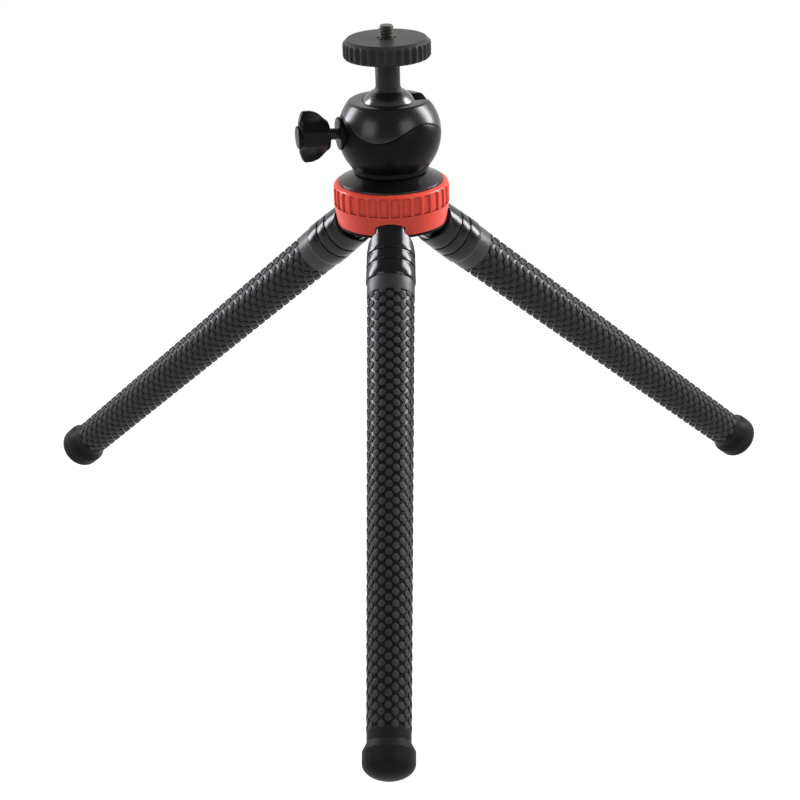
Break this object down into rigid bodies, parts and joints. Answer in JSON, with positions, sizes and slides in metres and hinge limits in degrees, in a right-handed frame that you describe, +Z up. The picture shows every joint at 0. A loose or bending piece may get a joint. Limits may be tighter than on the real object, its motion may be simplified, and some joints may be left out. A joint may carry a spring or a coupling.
{
  "type": "flexible leg tripod",
  "caption": "Mini tripod with a clamped ball head, knurled lock ring and camera screw, a fluted red ring, and bendable dotted rubber legs that fold on hinges.",
  "frame": {"origin": "middle of the camera seat, where the camera screw leaves the lock ring", "axes": "+Z up along the camera screw, the front leg points along -Y, the clamp knob is to the left and a little forward"},
  "size_m": [0.3394, 0.2967, 0.2365],
  "materials": {
    "black_gloss": "polished black plastic",
    "red_plastic": "satin red plastic",
    "dark_plate": "turned and black anodised",
    "ball_metal": "polished and black anodised",
    "steel": "bright screw steel",
    "wire": "soft bare wire",
    "leg_rubber": "moulded rubber with raised dots",
    "nylon": "plain nylon"
  },
  "bodies": {
    "base": {"base_disc": "black_gloss", "pan_washer": "nylon", "head_bolt": "steel", "red_ring": "red_plastic", "hub": "black_gloss", "bottom_cover": "black_gloss", "cover_screws": "steel", "hinge_pins": "steel"},
    "head": {"housing_upper": "black_gloss", "housing_lower": "black_gloss", "ball_seat": "nylon", "clamp_bush": "black_gloss"},
    "ball": {"ball_stem": "ball_metal", "camera_screw": "steel"},
    "lock": {"lock_ring": "dark_plate"},
    "shoe": {"brake_shoe": "nylon"},
    "knob": {"clamp_screw": "steel", "clamp_knob": "black_gloss", "knob_cap": "black_gloss"},
    "front_1": {"front_collar": "black_gloss", "front_core_1": "wire", "front_sleeve_1": "leg_rubber"},
    "front_2": {"front_core_2": "wire", "front_sleeve_2": "leg_rubber"},
    "front_3": {"front_core_3": "wire", "front_sleeve_3": "leg_rubber"},
    "front_4": {"front_core_4": "wire", "front_sleeve_4": "leg_rubber"},
    "front_5": {"front_core_5": "wire", "front_sleeve_5": "leg_rubber", "front_foot": "leg_rubber"},
    "left_1": {"left_collar": "black_gloss", "left_core_1": "wire", "left_sleeve_1": "leg_rubber"},
    "left_2": {"left_core_2": "wire", "left_sleeve_2": "leg_rubber"},
    "left_3": {"left_core_3": "wire", "left_sleeve_3": "leg_rubber"},
    "left_4": {"left_core_4": "wire", "left_sleeve_4": "leg_rubber"},
    "left_5": {"left_core_5": "wire", "left_sleeve_5": "leg_rubber", "left_foot": "leg_rubber"},
    "right_1": {"right_collar": "black_gloss", "right_core_1": "wire", "right_sleeve_1": "leg_rubber"},
    "right_2": {"right_core_2": "wire", "right_sleeve_2": "leg_rubber"},
    "right_3": {"right_core_3": "wire", "right_sleeve_3": "leg_rubber"},
    "right_4": {"right_core_4": "wire", "right_sleeve_4": "leg_rubber"},
    "right_5": {"right_core_5": "wire", "right_sleeve_5": "leg_rubber", "right_foot": "leg_rubber"}
  },
  "joints": [
    {"name": "head_pan", "type": "hinge", "parent": "base", "child": "head", "pos_m": [0, 0, -0.05565], "axis": [0, 0, 1], "continuous": true},
    {"name": "ball_tilt", "type": "hinge", "parent": "head", "child": "ball", "pos_m": [0, 0, -0.03231], "axis": [-0.2756, 0.9613, 0], "range_deg": [-28, 90]},
    {"name": "lock_turn", "type": "hinge", "parent": "ball", "child": "lock", "pos_m": [0, 0, -0.004], "axis": [0, 0, 1], "continuous": true},
    {"name": "shoe_slide", "type": "slide", "parent": "head", "child": "shoe", "axis": [-0.9613, -0.2756, 0], "range_m": [0, 0.0012]},
    {"name": "knob_turn", "type": "hinge", "parent": "shoe", "child": "knob", "pos_m": [-0.02403, -0.00689, -0.03791], "axis": [-0.9613, -0.2756, 0], "range_deg": [0, 540]},
    {"name": "front_pivot", "type": "hinge", "parent": "base", "child": "front_1", "pos_m": [0, -0.0135, -0.07585], "axis": [1, 0, 0], "range_deg": [0, 49]},
    {"name": "front_bend_1", "type": "hinge", "parent": "front_1", "child": "front_2", "pos_m": [0, -0.06305, -0.11801], "axis": [-1, 0, 0], "range_deg": [-30, 30]},
    {"name": "front_bend_2", "type": "hinge", "parent": "front_2", "child": "front_3", "pos_m": [0, -0.09157, -0.14229], "axis": [0, -0.6481, 0.7615], "range_deg": [-30, 30]},
    {"name": "front_bend_3", "type": "hinge", "parent": "front_3", "child": "front_4", "pos_m": [0, -0.1201, -0.16657], "axis": [1, 0, 0], "range_deg": [-30, 30]},
    {"name": "front_bend_4", "type": "hinge", "parent": "front_4", "child": "front_5", "pos_m": [0, -0.14863, -0.19085], "axis": [0, 0.6481, -0.7615], "range_deg": [-30, 30]},
    {"name": "left_pivot", "type": "hinge", "parent": "base", "child": "left_1", "pos_m": [-0.01169, 0.00675, -0.07585], "axis": [-0.5, -0.866, 0], "range_deg": [0, 49]},
    {"name": "left_bend_1", "type": "hinge", "parent": "left_1", "child": "left_2", "pos_m": [-0.0546, 0.03152, -0.11801], "axis": [0.5, 0.866, 0], "range_deg": [-30, 30]},
    {"name": "left_bend_2", "type": "hinge", "parent": "left_2", "child": "left_3", "pos_m": [-0.0793, 0.04579, -0.14229], "axis": [-0.5613, 0.3241, 0.7615], "range_deg": [-30, 30]},
    {"name": "left_bend_3", "type": "hinge", "parent": "left_3", "child": "left_4", "pos_m": [-0.10401, 0.06005, -0.16657], "axis": [-0.5, -0.866, 0], "range_deg": [-30, 30]},
    {"name": "left_bend_4", "type": "hinge", "parent": "left_4", "child": "left_5", "pos_m": [-0.12872, 0.07431, -0.19085], "axis": [0.5613, -0.3241, -0.7615], "range_deg": [-30, 30]},
    {"name": "right_pivot", "type": "hinge", "parent": "base", "child": "right_1", "pos_m": [0.01169, 0.00675, -0.07585], "axis": [-0.5, 0.866, 0], "range_deg": [0, 49]},
    {"name": "right_bend_1", "type": "hinge", "parent": "right_1", "child": "right_2", "pos_m": [0.0546, 0.03152, -0.11801], "axis": [0.5, -0.866, 0], "range_deg": [-30, 30]},
    {"name": "right_bend_2", "type": "hinge", "parent": "right_2", "child": "right_3", "pos_m": [0.0793, 0.04579, -0.14229], "axis": [0.5613, 0.3241, 0.7615], "range_deg": [-30, 30]},
    {"name": "right_bend_3", "type": "hinge", "parent": "right_3", "child": "right_4", "pos_m": [0.10401, 0.06005, -0.16657], "axis": [-0.5, 0.866, 0], "range_deg": [-30, 30]},
    {"name": "right_bend_4", "type": "hinge", "parent": "right_4", "child": "right_5", "pos_m": [0.12872, 0.07431, -0.19085], "axis": [-0.5613, -0.3241, -0.7615], "range_deg": [-30, 30]}
  ],
  "couplings": [
    {"joint": "shoe_slide", "follows": "knob_turn", "m_per_rad": 0.000127}
  ]
}
